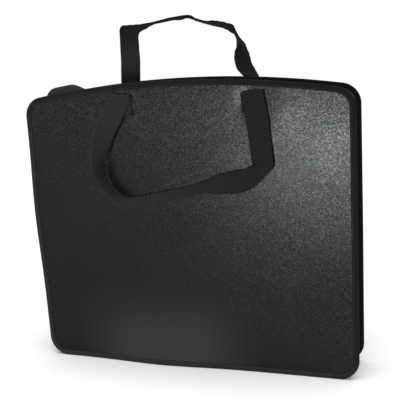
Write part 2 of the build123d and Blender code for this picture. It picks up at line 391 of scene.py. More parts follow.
# ---------- materials
class Surface:
    """A Principled material with short calls to add and join nodes."""

    def __init__(self, name, colour, roughness, specular=0.5, sheen=0.0):
        self.material = bpy.data.materials.new(name)
        self.material.use_nodes = True
        self.tree = self.material.node_tree
        self.shader = self.tree.nodes["Principled BSDF"]
        self.shader.inputs["Base Color"].default_value = (*colour, 1)
        self.shader.inputs["Roughness"].default_value = roughness
        self.shader.inputs["Specular IOR Level"].default_value = specular
        self.shader.inputs["Sheen Weight"].default_value = sheen
        self.shader.inputs["Sheen Roughness"].default_value = 0.4

    def node(self, kind, vector=None, **inputs):
        """Adds a node, with its vector joined and its other inputs set."""
        made = self.tree.nodes.new("ShaderNode" + kind)
        if vector is not None:
            self.join(vector, made.inputs[0])
        for name, value in inputs.items():
            made.inputs[name].default_value = value
        return made

    def join(self, source, target):
        self.tree.links.new(source, target)

    def math(self, operation, a, b=0.0, clamp=False):
        made = self.node("Math")
        made.operation = operation
        made.use_clamp = clamp
        for socket, value in zip(made.inputs, (a, b)):
            if isinstance(value, (int, float)):
                socket.default_value = value
            else:
                self.join(value, socket)
        return made.outputs[0]

    def times(self, a, b):
        return self.math("MULTIPLY", a, b)

    def plus(self, a, b, clamp=False):
        return self.math("ADD", a, b, clamp)

    def scaled(self, value, low, high, to_low, to_high):
        """Value taken smoothly from the range low to high over to the range to_low to to_high."""
        made = self.node("MapRange")
        made.interpolation_type = "SMOOTHSTEP"
        self.join(value, made.inputs["Value"])
        for key, number in (("From Min", low), ("From Max", high), ("To Min", to_low), ("To Max", to_high)):
            made.inputs[key].default_value = number
        return made.outputs[0]

    def parts(self, vector):
        """The three numbers of a vector."""
        return self.node("SeparateXYZ", vector).outputs

    def place(self):
        return self.node("TexCoord").outputs["Object"]

    def weave(self):
        """U runs along the cloth and V across it, both in metres."""
        uv = self.node("UVMap")
        uv.uv_map = "weave"
        u, v, _ = self.parts(uv.outputs["UV"])
        return u, v

    def pick(self, vector, scale):
        """A chance value from 0 to 1 for each cell of a Voronoi pattern."""
        return self.parts(self.node("TexVoronoi", vector, Scale=scale).outputs["Color"])[0]

    def cells(self, vector, scale, feature="F1"):
        """Distance inside the cells of a Voronoi pattern."""
        made = self.node("TexVoronoi", vector, Scale=scale)
        made.feature = feature
        return made.outputs["Distance"]

    def noise(self, vector, scale, detail=2.0, roughness=0.5):
        made = self.node("TexNoise", vector, Scale=scale, Detail=detail, Roughness=roughness)
        return made.outputs["Fac"]

    def wave(self, value, pitch, phase=0.0):
        """0 to 1 and back once each pitch of value."""
        turned = self.plus(self.times(value, 2 * pi / pitch), phase)
        raised = self.plus(self.math("SINE", turned), 1.0)
        return self.times(raised, 0.5)

    def bump(self, height, distance, strength=1.0):
        made = self.node("Bump", Strength=strength, Distance=distance)
        self.join(height, made.inputs["Height"])
        self.join(made.outputs["Normal"], self.shader.inputs["Normal"])

    def tint(self, factor, dark, light):
        """Base colour between two colours."""
        made = self.node("Mix")
        made.data_type = "RGBA"
        made.inputs[6].default_value = (*dark, 1)
        made.inputs[7].default_value = (*light, 1)
        self.join(factor, made.inputs[0])
        self.join(made.outputs[2], self.shader.inputs["Base Color"])

    def roughness(self, factor):
        self.join(factor, self.shader.inputs["Roughness"])


def embossed_plastic():
    """Black sheet with a pebbled grain that glints, painted glints in its colour towards the top and right,
    and a painted sheen on its lower edge.
    """
    s = Surface("embossed_sheet", (0.006, 0.006, 0.0065), 0.24, specular=0.16)
    place = s.place()
    pebbles = s.scaled(s.cells(place, 560, "DISTANCE_TO_EDGE"), 0.0, 0.32, 0.0, 1.0)
    fine = s.cells(place, 1350)
    s.bump(s.plus(s.times(pebbles, 0.8), s.times(fine, 0.35)), 0.05 * MM)
    across, _, up = s.parts(place)
    # Painted light: glints grow towards the right and the top, where the key light falls; this sets the
    # specular level and the painted glints in the colour.
    glint_lit_side = s.plus(s.plus(s.times(across, 1.7), s.times(up, 2.3)), 0.1, clamp=True)
    glint = s.times(s.times(s.pick(place, 760), s.pick(place, 980)), glint_lit_side)
    s.join(s.scaled(glint, 0.0, 0.75, 0.14, 0.46), s.shader.inputs["Specular IOR Level"])
    s.roughness(s.scaled(s.noise(place, 14, 3), 0.35, 0.65, 0.21, 0.27))
    # Painted sheen: the colour is paler along the lower edge, left of the middle, standing in for light
    # caught where the sheet bows out.
    low = s.scaled(up, 10 * MM, 135 * MM, 1.0, 0.0)
    aside = s.math("ABSOLUTE", s.plus(across, 42 * MM))
    painted_low_sheen = s.times(low, s.scaled(aside, 35 * MM, 155 * MM, 1.0, 0.0))
    # Painted glints: pale specks in the base colour, stronger towards the top.
    painted_glints = s.times(glint, s.scaled(up, 200 * MM, 360 * MM, 0.25, 0.7))
    # The base colour carries the painted glints and the painted sheen.
    pale = s.plus(painted_glints, s.times(painted_low_sheen, 0.75))
    s.tint(pale, (0.0035, 0.0035, 0.004), (0.036, 0.036, 0.037))
    return s.material


def ribbed_tape():
    """Grosgrain binding tape: fine ribs across it, painted paler at the bottom and the left and darker at
    the right and the top, as painted light and shade.
    """
    s = Surface("binding_tape", (0.009, 0.009, 0.010), 0.8, specular=0.12)
    u, v = s.weave()
    ribs = s.wave(u, 0.9 * MM)
    threads = s.wave(v, 0.45 * MM)
    s.bump(s.plus(s.times(ribs, 0.8), s.times(threads, 0.25)), 0.12 * MM, 0.8)
    place = s.place()
    fuzz = s.noise(place, 420, 3)
    across, _, up = s.parts(place)
    # Painted light and shade: paler to the left and at the bottom, darker to the right and at the top.
    painted_light_side = s.math("SUBTRACT", 0.35, s.times(across, 1.1))
    painted_light_side = s.plus(painted_light_side, s.scaled(up, 0.0, 40 * MM, 0.45, 0.0))
    painted_light_side = s.times(painted_light_side, s.scaled(up, 320 * MM, 400 * MM, 1.0, 0.3))
    painted_light_side = s.plus(s.times(painted_light_side, 2.5), 0.25)
    s.tint(s.times(s.times(ribs, fuzz), painted_light_side), (0.003, 0.003, 0.0035), (0.035, 0.035, 0.036))
    return s.material


def gusset_nylon():
    """Plain-weave coated nylon."""
    s = Surface("gusset_cloth", (0.012, 0.012, 0.013), 0.7, specular=0.3, sheen=0.03)
    place = s.place()
    u, v = s.weave()
    weave = s.times(s.wave(u, 0.55 * MM), s.wave(v, 0.55 * MM))
    creases = s.noise(place, 45, 4, 0.6)
    s.bump(s.plus(s.times(weave, 0.25), s.times(creases, 1.5)), 0.3 * MM, 0.8)
    s.tint(weave, (0.014, 0.014, 0.015), (0.034, 0.034, 0.036))
    return s.material


def zip_tape_cloth():
    """Herringbone zip tape."""
    s = Surface("zip_tape", (0.012, 0.012, 0.013), 0.8, specular=0.25)
    u, v = s.weave()
    zigzag = s.math("ABSOLUTE", s.math("SUBTRACT", s.math("FRACT", s.times(v, 250.0)), 0.5))
    ribs = s.wave(s.plus(u, s.times(zigzag, 4 * MM)), 0.8 * MM)
    s.bump(ribs, 0.1 * MM, 0.8)
    s.tint(ribs, (0.008, 0.008, 0.009), (0.022, 0.022, 0.024))
    return s.material


def nylon_coil():
    s = Surface("zip_coil", (0.014, 0.014, 0.015), 0.35, specular=0.45)
    s.tint(s.noise(s.place(), 300, 2), (0.010, 0.010, 0.011), (0.022, 0.022, 0.024))
    return s.material


RIB_PITCH = 4.1 * MM


def strap_webbing():
    """Heavy polypropylene webbing: ribs across, with fine twill lines, and painted shade: paler at the
    lower left, darker to the right and high up.
    """
    s = Surface("webbing", (0.010, 0.010, 0.011), 0.8, specular=0.02)
    u, v = s.weave()
    main = s.wave(u, RIB_PITCH, -pi / 2)
    second = s.wave(u, RIB_PITCH / 2)
    twill = s.wave(s.plus(u, v), 1.0 * MM)
    warp = s.wave(v, 1.25 * MM)
    fibres = s.noise(s.place(), 900, 3)
    height = s.plus(s.times(second, 0.35), s.times(twill, 0.30))
    height = s.plus(s.plus(height, s.times(warp, 0.25)), s.times(fibres, 0.2))
    s.bump(height, 0.25 * MM, 0.9)
    tone = s.times(s.plus(main, s.times(fibres, 0.6)), 0.6)
    across, _, up = s.parts(s.place())
    # Painted shade: darker to the right, and much darker above 440 mm where the back handle stands high.
    painted_strap_shade = s.scaled(across, -100 * MM, 100 * MM, 1.0, 0.45)
    painted_strap_shade = s.times(painted_strap_shade, s.scaled(up, 440 * MM, 480 * MM, 1.0, 0.15))
    s.tint(s.times(tone, painted_strap_shade), (0.0055, 0.0055, 0.006), (0.046, 0.046, 0.047))
    return s.material


def black_thread():
    s = Surface("thread", (0.020, 0.020, 0.022), 0.6, specular=0.35)
    s.tint(s.noise(s.place(), 1500, 2), (0.012, 0.012, 0.013), (0.035, 0.035, 0.038))
    return s.material


def black_plastic_patch():
    s = Surface("stiffener", (0.020, 0.020, 0.021), 0.55, specular=0.4)
    s.bump(s.noise(s.place(), 500, 4), 0.1 * MM, 0.6)
    s.tint(s.noise(s.place(), 120, 3), (0.015, 0.015, 0.016), (0.028, 0.028, 0.030))
    return s.material


def enamelled_zinc():
    """Black enamel on cast zinc, rubbed a little on its high spots."""
    s = Surface("zip_metal", (0.02, 0.02, 0.021), 0.32, specular=0.6)
    s.shader.inputs["Metallic"].default_value = 0.35
    wear = s.noise(s.place(), 700, 5, 0.7)
    s.tint(s.scaled(wear, 0.62, 0.78, 0.0, 1.0), (0.016, 0.016, 0.017), (0.11, 0.11, 0.11))
    s.roughness(s.scaled(wear, 0.3, 0.7, 0.25, 0.45))
    s.bump(wear, 0.05 * MM, 0.4)
    return s.material


MATERIALS = {
    "embossed_sheet": embossed_plastic(),
    "binding_tape": ribbed_tape(),
    "gusset_cloth": gusset_nylon(),
    "zip_tape": zip_tape_cloth(),
    "zip_coil": nylon_coil(),
    "webbing": strap_webbing(),
    "stiffener": black_plastic_patch(),
    "zip_metal": enamelled_zinc(),
    "thread": black_thread(),
}


def dress(obj, slot, look=None):
    """Gives a piece its material, chosen by slot unless look is given."""
    obj.data.materials.clear()
    obj.data.materials.append(MATERIALS[look or slot])


def fit(obj, slot, body, node=None):
    """Dresses a piece that moves with a body, and puts it in the place of a CAD node."""
    dress(obj, slot)
    if node:
        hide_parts(node)
    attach(obj, body)


# ---------- camera, floor and lights
CAMERA_PLACE = (0.33118, -0.91678, 0.44897)
CAMERA_HEADING = 19.18
CAMERA_PITCH = 12.27
CAMERA_ROLL = -3.51
CAMERA_LENS = 63.77


def make_camera():
    """The photo's viewpoint, as fitted to the case's outline."""
    data = bpy.data.cameras.new("camera")
    data.lens = CAMERA_LENS
    data.sensor_width = 36
    data.clip_start = 0.01
    camera = bpy.data.objects.new("camera", data)
    turn = (
        Matrix.Rotation(radians(CAMERA_HEADING), 4, "Z")
        @ Matrix.Rotation(radians(90 - CAMERA_PITCH), 4, "X")
        @ Matrix.Rotation(radians(CAMERA_ROLL), 4, "Z")
    )
    camera.matrix_world = Matrix.Translation(CAMERA_PLACE) @ turn
    bpy.context.scene.camera = link(camera)


def area_light(name, place, target, width, height, power, colour=(1, 1, 1)):
    """A rectangular light at place that shines at target."""
    data = bpy.data.lights.new(name, "AREA")
    data.shape = "RECTANGLE"
    data.size, data.size_y = width, height
    data.energy = power
    data.color = colour
    light = bpy.data.objects.new(name, data)
    light.location = place
    light.rotation_euler = (Vector(target) - Vector(place)).to_track_quat("-Z", "Y").to_euler()
    link(light)


def make_studio():
    """White surroundings that light the case only weakly, three lights and a pale floor."""
    scene = bpy.context.scene
    scene.view_settings.view_transform = "Standard"
    world = bpy.data.worlds.new("studio")
    scene.world = world
    world.use_nodes = True
    tree = world.node_tree
    background = tree.nodes["Background"]
    background.inputs["Color"].default_value = (1, 1, 1, 1)
    seen = tree.nodes.new("ShaderNodeLightPath")
    strength = tree.nodes.new("ShaderNodeMapRange")
    strength.inputs["To Min"].default_value = 0.22
    strength.inputs["To Max"].default_value = 1.0
    tree.links.new(seen.outputs["Is Camera Ray"], strength.inputs["Value"])
    tree.links.new(strength.outputs[0], background.inputs["Strength"])

    sun = bpy.data.lights.new("overhead", "SUN")
    sun.energy = 3.6
    sun.angle = radians(60)
    overhead = bpy.data.objects.new("overhead", sun)
    overhead.rotation_euler = (radians(8), radians(4), 0)
    link(overhead)

    area_light("key", (-0.025, -1.5, 0.11), (0.10, 0, 0.30), 0.32, 0.16, 6.3, (0.95, 0.98, 1))
    area_light("fill", (-0.72, -1.5, 0.36), (-0.15, 0, 0.33), 0.9, 0.4, 1.1)

    half = 4.0
    corners = [(-half, -half, 0), (half, -half, 0), (half, half, 0), (-half, half, 0)]
    floor = make_object("floor", corners, [(0, 1, 2, 3)])
    pale = Surface("floor_paint", (0.86, 0.86, 0.86), 0.8, specular=0.1)
    pale.tint(pale.noise(pale.place(), 3, 2), (0.85, 0.85, 0.85), (0.87, 0.87, 0.87))
    floor.data.materials.append(pale.material)


# ---------- panels
def make_sheet(panel):
    """The embossed sheet: an even grid inside, strips out to the edge and fans at the corners."""
    facing = FACING[panel]
    columns, rows, strips, fan = 92, 76, 8, 10
    reach = CORNER - COVER_INSET
    verts, faces = [], []

    def arch_top(x):
        return ARCH_CENTRE + sqrt((ARCH_RADIUS - CORNER) ** 2 - x * x)

    def add(x, z):
        verts.append(Vector((x, facing * (SHEET_FACE + sheet_lift(x, z, facing)), z)))
        return len(verts) - 1

    xs = [-CORNER_X + 2 * CORNER_X * i / columns for i in range(columns + 1)]
    grid = [[add(x, CORNER + (arch_top(x) - CORNER) * j / rows) for j in range(rows + 1)] for x in xs]
    for i in range(columns):
        for j in range(rows):
            faces.append((grid[i][j], grid[i + 1][j], grid[i + 1][j + 1], grid[i][j + 1]))

    def spoke(vertex, dx, dz):
        """Points from a vertex of the grid straight out to the sheet's edge."""
        base = verts[vertex]
        steps = [reach * k / strips for k in range(1, strips + 1)]
        return [vertex] + [add(base.x + dx * far, base.z + dz * far) for far in steps]

    def fill(spokes):
        """Faces between neighbouring spokes, which may start at the same vertex."""
        for first, second in zip(spokes, spokes[1:]):
            for k in range(strips):
                face = (first[k], first[k + 1], second[k + 1], second[k])
                faces.append(face[:3] if first[k] == second[k] else face)

    def strip(border, directions):
        """Fills out from a border of the grid to the sheet's edge; returns the two end spokes."""
        spokes = [spoke(vertex, dx, dz) for vertex, (dx, dz) in zip(border, directions)]
        fill(spokes)
        return spokes[0], spokes[-1]

    bottom = strip([grid[i][0] for i in range(columns + 1)], [(0, -1)] * (columns + 1))
    right = strip([grid[columns][j] for j in range(rows + 1)], [(1, 0)] * (rows + 1))
    left = strip([grid[0][j] for j in range(rows + 1)], [(-1, 0)] * (rows + 1))
    radial = []
    for x in xs:
        lean = Vector((x, arch_top(x) - ARCH_CENTRE)).normalized()
        radial.append((lean.x, lean.y))
    top = strip([grid[i][rows] for i in range(columns + 1)], radial)

    def corner(first, last, start, end):
        """Fills the fan between the end spokes of two strips that share a grid corner."""
        angles = [start + (end - start) * n / fan for n in range(1, fan)]
        fill([first] + [spoke(first[0], cos(angle), sin(angle)) for angle in angles] + [last])

    corner(bottom[1], right[0], -pi / 2, 0)
    corner(right[1], top[1], 0, pi / 2 - ARCH_HALF_ANGLE)
    corner(top[0], left[1], pi / 2 + ARCH_HALF_ANGLE, pi)
    corner(left[0], bottom[0], pi, 3 * pi / 2)

    # The back face is the front one moved in by the sheet's thickness, joined round the edge.
    count = len(verts)
    verts.extend([Vector((v.x, v.y - facing * SHEET, v.z)) for v in list(verts)])
    outer = list(faces)
    edges = {}
    for face in outer:
        for a, b in zip(face, face[1:] + face[:1]):
            key = (min(a, b), max(a, b))
            edges[key] = None if key in edges else (a, b)
    faces.extend([tuple(v + count for v in reversed(face)) for face in outer])
    faces.extend([(b, a, a + count, b + count) for a, b in filter(None, edges.values())])
    obj = recalculate(make_object(f"{panel}_embossed_sheet", verts, faces))
    fit(obj, "embossed_sheet", f"{panel}_panel", f"{panel}_cover")


def bowed(facing):
    """Shift for edge_sweep: the rim follows its panel's bow."""

    def shift(station, inset, out):
        x = station.x + station.inward_x * inset
        z = station.z + station.inward_z * inset
        hold = smooth(out, 20 * MM, 28 * MM)
        return inset, out + hold * panel_bow(x, z, facing)

    return shift


def make_binding(panel):
    """Tape folded over the edge of the sheet and flange, sewn through near its inner edges."""
    facing = FACING[panel]
    fold = 1.6 * MM
    seam = BINDING_WIDTH - 1.7 * MM
    pinch = 0.25 * MM
    face, back = HALF_DEPTH, BINDING_BACK
    profile = [
        (BINDING_WIDTH - 0.15 * MM, back + 0.1 * MM),
        (seam + 0.9 * MM, back),
        (seam, back + pinch),
        (seam - 0.9 * MM, back),
        (fold, back),
        (fold * 0.45, back + fold * 0.2),
        (fold * 0.1, back + fold * 0.6),
        (0, (face + back) / 2),
        (fold * 0.1, face - fold * 0.6),
        (fold * 0.45, face - fold * 0.2),
        (fold, face),
        (seam - 0.9 * MM, face),
        (seam, face - pinch),
        (seam + 0.9 * MM, face),
        (BINDING_WIDTH - 0.15 * MM, face - 0.1 * MM),
        (BINDING_WIDTH, SHEET_FACE + 0.3 * MM),
        (BINDING_WIDTH - 0.1 * MM, SHEET_FACE),
        (COVER_INSET, SHEET_FACE),
        (COVER_INSET, FLANGE_BACK),
        (BINDING_WIDTH - 0.1 * MM, FLANGE_BACK),
        (BINDING_WIDTH, FLANGE_BACK - 0.3 * MM),
    ]
    bow = bowed(facing)

    def shift(station, inset, out):
        inset, out = bow(station, inset, out)
        if inset > 4 * MM:
            inset += 0.22 * MM * ripple(station.x, 7 * facing, station.z, 17 * MM)
        return inset, out

    obj = edge_sweep(f"{panel}_binding_tape", EDGE, profile, facing, True, shift)
    fit(obj, "binding_tape", f"{panel}_panel", f"{panel}_binding")

    rows = []
    closed = EDGE + EDGE[:1]
    for out, way in ((face - pinch + 0.05 * MM, 1), (back + pinch - 0.05 * MM, -1)):
        points = [s.at(*bow(s, seam, out), facing) for s in closed]
        rows.append((points, [Vector((0, facing * way, 0))] * len(points)))
    stitches(f"{panel}_binding_stitches", rows, f"{panel}_panel", "binding_tape")


LUMP_X = -197 * MM  # where the loose gusset cloth stands up above the rim
LUMP_HEIGHT = 12 * MM
LUMP_SPREAD = 5 * MM


def gusset_puff(station, out, facing):
    """How far the gusset cloth stands out of its flat place, with its folds."""
    middle = sin(pi * smooth(out, GUSSET_REACH, FLANGE_BACK))
    x, z = station.x, station.z
    folds = 1.3 * MM * ripple(x, out * 1.5, z, 26 * MM) + 0.6 * MM * ripple(x, out, z, 11 * MM)
    puff = middle * (2.2 * MM + folds)
    if facing > 0:
        lump = LUMP_HEIGHT * bell((x - LUMP_X) ** 2, (32 * MM) ** 2)
        lump += LUMP_SPREAD * bell(x - LUMP_X, 70 * MM)
        puff += lump * middle * smooth(z, 335 * MM, 370 * MM)
    return puff


def make_gusset(panel):
    """Cloth sewn into the rim, then turned to run along the side towards the zip."""
    facing = FACING[panel]
    hem = 1.3 * MM
    across = 12
    span = FLANGE_BACK - GUSSET_REACH
    inner = GUSSET_INSET + TAPE
    sewn_in = SHEET_BACK - 0.1 * MM
    upper = [(GUSSET_INSET, FLANGE_BACK - span * k / across) for k in range(1, across)]
    profile = [(2 * MM, sewn_in), (2 * MM, FLANGE_BACK + 0.05 * MM), (7.5 * MM, FLANGE_BACK + 0.05 * MM)]
    profile += upper
    profile += [(GUSSET_INSET, GUSSET_REACH), (GUSSET_INSET + hem / 2, GUSSET_REACH - 0.3 * MM)]
    profile += [(inner, GUSSET_REACH)] + [(inner, out) for _, out in reversed(upper)]
    profile += [(inner, FLANGE_BACK - 0.2 * MM), (inner, sewn_in)]
    bow = bowed(facing)

    def shift(station, inset, out):
        lifted = inset
        if GUSSET_REACH < out < FLANGE_BACK and inset > 8 * MM:
            lifted = inset - gusset_puff(station, out, facing)
        return bow(station, lifted, out)

    wall = edge_sweep(f"{panel}_gusset_wall", ZIP_RUN, profile, facing, False, shift)
    fit(wall, "gusset_cloth", f"{panel}_panel", f"{panel}_gusset")

    flange = [(2 * MM, sewn_in), (2 * MM, FLANGE_BACK), (8 * MM, FLANGE_BACK)]
    flange += [(inner, FLANGE_BACK + 0.1 * MM), (inner, sewn_in)]
    low_run = [s for s in EDGE if s.z < ZIP_START + 1e-6]
    low_run = [s for s in low_run if s.x < -1e-6] + [s for s in low_run if s.x > -1e-6]
    low = edge_sweep(f"{panel}_gusset_flange", low_run, flange, facing, False, bow)
    fit(low, "gusset_cloth", f"{panel}_panel")

    hem_out = GUSSET_REACH + 1.6 * MM
    points, normals = [], []
    for s in ZIP_RUN:
        lift = gusset_puff(s, hem_out, facing)
        points.append(s.at(GUSSET_INSET - lift - 0.02 * MM, hem_out, facing))
        normals.append(Vector((-s.inward_x, 0, -s.inward_z)))
    stitches(f"{panel}_gusset_stitches", [(points, normals)], f"{panel}_panel", "gusset_cloth")


def make_zip_half(panel):
    """Zip tape and the nylon coil along its edge."""
    facing = FACING[panel]
    low, high = GUSSET_INSET + TAPE, GUSSET_INSET + TAPE + 0.6 * MM
    near = 0.6 * MM
    count = 10
    outs = [near + (ZIP_REACH - near) * k / count for k in range(count + 1)]
    profile = [(low + 0.02 * MM, out) for out in outs] + [(high, out) for out in reversed(outs)]

    def shift(station, inset, out):
        sag = 0.5 * MM * ripple(station.x, out * 0.5, station.z, 45 * MM) * sin(pi * out / ZIP_REACH)
        return inset + max(0, sag), out

    tape = edge_sweep(f"{panel}_zip_tape_cloth", ZIP_RUN, profile, facing, False, shift)
    fit(tape, "zip_tape", f"{panel}_panel", f"{panel}_zip_tape")

    pitch, turn_points, sides, wire = 1.8 * MM, 8, 5, 0.30 * MM
    phase = 0 if facing < 0 else pi
    centre_inset, high_half = low - 0.80 * MM, 0.48 * MM
    centre_out, wide_half = 1.65 * MM, 1.42 * MM
    line = []
    for a, b in zip(ZIP_RUN, ZIP_RUN[1:]):
        pieces = max(1, round((b.along - a.along) / (pitch / turn_points)))
        for k in range(pieces):
            s = a.towards(b, k / pieces)
            angle = 2 * pi * s.along / pitch + phase
            inset, out = centre_inset + high_half * sin(angle), centre_out - wide_half * cos(angle)
            line.append(s.at(inset, out, facing))
    angles = [2 * pi * k / sides for k in range(sides)]
    rings = []
    for i, p in enumerate(line):
        ahead = (line[min(i + 1, len(line) - 1)] - line[max(i - 1, 0)]).normalized()
        side = ahead.cross(Vector((0, 1, 0))).normalized()
        up = side.cross(ahead)
        rings.append([p + (side * cos(angle) + up * sin(angle)) * wire for angle in angles])
    verts = [p for ring in rings for p in ring]
    coil = recalculate(make_object(f"{panel}_zip_coil", verts, tube_faces(0, len(rings), sides)))
    fit(coil, "zip_coil", f"{panel}_panel", f"{panel}_zip_teeth")


# ---------- base between the panels
def make_base():
    """Bottom gusset, its folds over to the two panels and the covers over the zip's ends."""
    across = 22
    outs = [-BASE_HALF + 2 * BASE_HALF * k / across for k in range(across + 1)]
    profile = [(GUSSET_INSET, out) for out in outs] + [(GUSSET_INSET + TAPE, out) for out in reversed(outs)]

    def shift(station, inset, out):
        free = 1 - smooth(abs(out), 7 * MM, 18 * MM)
        sag = 1.2 * MM * ripple(station.x, out, station.z, 40 * MM) - 0.6 * MM
        return inset + free * sag, out

    strip = edge_sweep("bottom_gusset_cloth", BASE_RUN, profile, 1, False, shift)
    fit(strip, "gusset_cloth", "base", "bottom_gusset")

    rows = []
    for side in (-1, 1):
        out = side * (BASE_HALF - 2 * MM)
        points = [s.at(GUSSET_INSET + TAPE + 0.02 * MM, out, 1) for s in BASE_RUN]
        rows.append((points, [Vector((s.inward_x, 0, s.inward_z)) for s in BASE_RUN]))
    stitches("bottom_gusset_stitches", rows, "base", "gusset_cloth")

    for panel, facing in FACING.items():
        fold_run = [s for s in BASE_RUN if s.z < 1e-6]
        upper, lower = GUSSET_INSET - 0.7 * MM, GUSSET_INSET - 1.2 * MM
        start, end = BASE_HALF - 3 * MM, FLANGE_BACK - 0.1 * MM
        steps = 8
        outs = [start + (end - start) * k / steps for k in range(steps + 1)]
        profile = [(upper, out) for out in outs]
        profile += [(upper - 1.5 * MM, end), (upper - 1.5 * MM, end - 0.5 * MM)]
        profile += [(lower, out) for out in reversed(outs[:-1])]
        fold = edge_sweep(f"{panel}_bottom_fold", fold_run, profile, facing, False, bowed(facing))
        dress(fold, "gusset_cloth")
        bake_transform(fold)

    thick = 1.2 * MM
    for side, turn in (("left", -1), ("right", 1)):
        node = f"{side}_zip_end_tab"
        low, high = box(node)
        centre = (low + high) / 2
        size = high - low
        face = turn * max(abs(low.x), abs(high.x))
        right, up, normal = Vector((0, turn, 0)), Vector((0, 0, 1)), Vector((turn, 0, 0))
        foot = Vector((face - turn * thick, centre.y, centre.z))
        pad = cloth_patch(f"{node}_cloth", foot, right, up, normal, size.y, size.z, thick, 2 * MM)
        fit(pad, "binding_tape", "base", node)
        seam = Vector((face + turn * 0.05 * MM, centre.y, centre.z))
        rows = [frame_row(seam, right, up, normal, size.y - 4 * MM, size.z - 4 * MM)]
        stitches(f"{node}_stitches", rows, "base", "binding_tape", 2.6 * MM, 2.0 * MM)


def cloth_patch(name, centre, right, up, normal, width, height, thick, radius, slant=0.0, drop=0.0):
    """A rounded rectangle of thick cloth with soft edges, standing on centre along normal.

    Its top edge can slope by slant and stand lower by drop."""
    per_corner = 6
    profile = [(0.0, 0.0), (0.0, 0.55), (0.12, 0.85), (0.35, 1.0)]  # (inset, height) in thicknesses

    def outline(inset):
        points = []
        for sx, sy, start in ((1, -1, -pi / 2), (1, 1, 0), (-1, 1, pi / 2), (-1, -1, pi)):
            for k in range(per_corner + 1):
                angle = start + (pi / 2) * k / per_corner
                a = sx * (width / 2 - radius) + (radius - inset) * cos(angle)
                b = sy * (height / 2 - radius) + (radius - inset) * sin(angle)
                points.append((a, b + (slant * a - drop if b > 0 else 0)))
        return points

    verts = []
    for inset, level in profile:
        stand = normal * (level * thick)
        verts += [centre + right * a + up * b + stand for a, b in outline(inset * thick)]
    faces = tube_faces(0, len(profile), 4 * (per_corner + 1))
    from_centre = [v - centre for v in verts]
    uvs = [[(from_centre[i].dot(up), from_centre[i].dot(right)) for i in face] for face in faces]
    return recalculate(make_object(name, verts, faces, uvs))


ROW_PARTS = 8  # parts of each straight row of stitches


def frame_row(centre, right, up, normal, width, height):
    """Points and normals of a closed rectangle of stitches."""
    corners = [(-1, -1), (1, -1), (1, 1), (-1, 1), (-1, -1)]
    points = []
    for (ax, ay), (bx, by) in zip(corners, corners[1:]):
        for k in range(ROW_PARTS):
            t = k / ROW_PARTS
            x, y = ax + (bx - ax) * t, ay + (by - ay) * t
            points.append(centre + right * (x * width / 2) + up * (y * height / 2))
    points.append(points[0].copy())
    return points, [normal] * len(points)


def line_row(centre, right, up, normal, x0, y0, x1, y1):
    """Points and normals of a straight row of stitches."""
    points = []
    for k in range(ROW_PARTS + 1):
        across, upward = x0 + (x1 - x0) * k / ROW_PARTS, y0 + (y1 - y0) * k / ROW_PARTS
        points.append(centre + right * across + up * upward)
    return points, [normal] * len(points)


# ---------- handles
# Places along each handle's middle in mm, left tab to right, each with the way its width points.
FRONT_STRAP = [
    ((-81.5, -35.6, 390.4), (1, 0, 0)),
    ((-88, -35.6, 374), (0.98, 0, -0.2)),
    ((-96, -37.5, 360), (0.92, 0.2, -0.35)),
    ((-104.5, -41, 345), (0.84, 0.4, -0.38)),
    ((-110, -45, 327), (0.62, 0.66, -0.38)),
    ((-114, -48, 310), (0.38, 0.85, -0.36)),
    ((-115.5, -49.5, 294.5), (0.2, 0.96, -0.2)),
    ((-113.5, -49.5, 278.5), (0.13, 0.98, -0.09)),
    ((-106.5, -49.3, 264), (0.14, 0.98, -0.06)),
    ((-96.5, -49.3, 252.6), (-0.03, 0.99, 0.05)),
    ((-85, -49.2, 245.8), (-0.13, 0.97, 0.2)),
    ((-68.8, -49, 244.3), (-0.13, 0.94, 0.32)),
    ((-47.4, -48.9, 247.6), (-0.08, 0.93, 0.36)),
    ((-22.9, -48.9, 252.4), (-0.1, 0.93, 0.34)),
    ((3.8, -48.9, 257.8), (-0.1, 0.93, 0.34)),
    ((21.7, -48.8, 262.7), (-0.12, 0.93, 0.34)),
    ((38.2, -48.3, 267.2), (-0.14, 0.89, 0.42)),
    ((58.2, -44, 270.2), (-0.12, 0.63, 0.77)),
    ((78.5, -38.5, 271.5), (-0.14, 0.25, 0.95)),
    ((96, -41, 277), (-0.42, 0.5, 0.76)),
    ((106.3, -41.5, 285.2), (-0.7, 0.6, 0.36)),
    ((113, -36.2, 293.3), (-0.98, 0.15, -0.08)),
    ((112.4, -35.5, 304.8), (-0.99, 0.12, -0.02)),
    ((111.2, -35, 320.2), (-0.99, 0.08, -0.05)),
    ((108.3, -35.8, 351.8), (-0.99, 0, -0.13)),
    ((104.5, -35.6, 374), (-0.99, 0, -0.1)),
    ((102.5, -35.6, 390.4), (-1, 0, 0)),
]
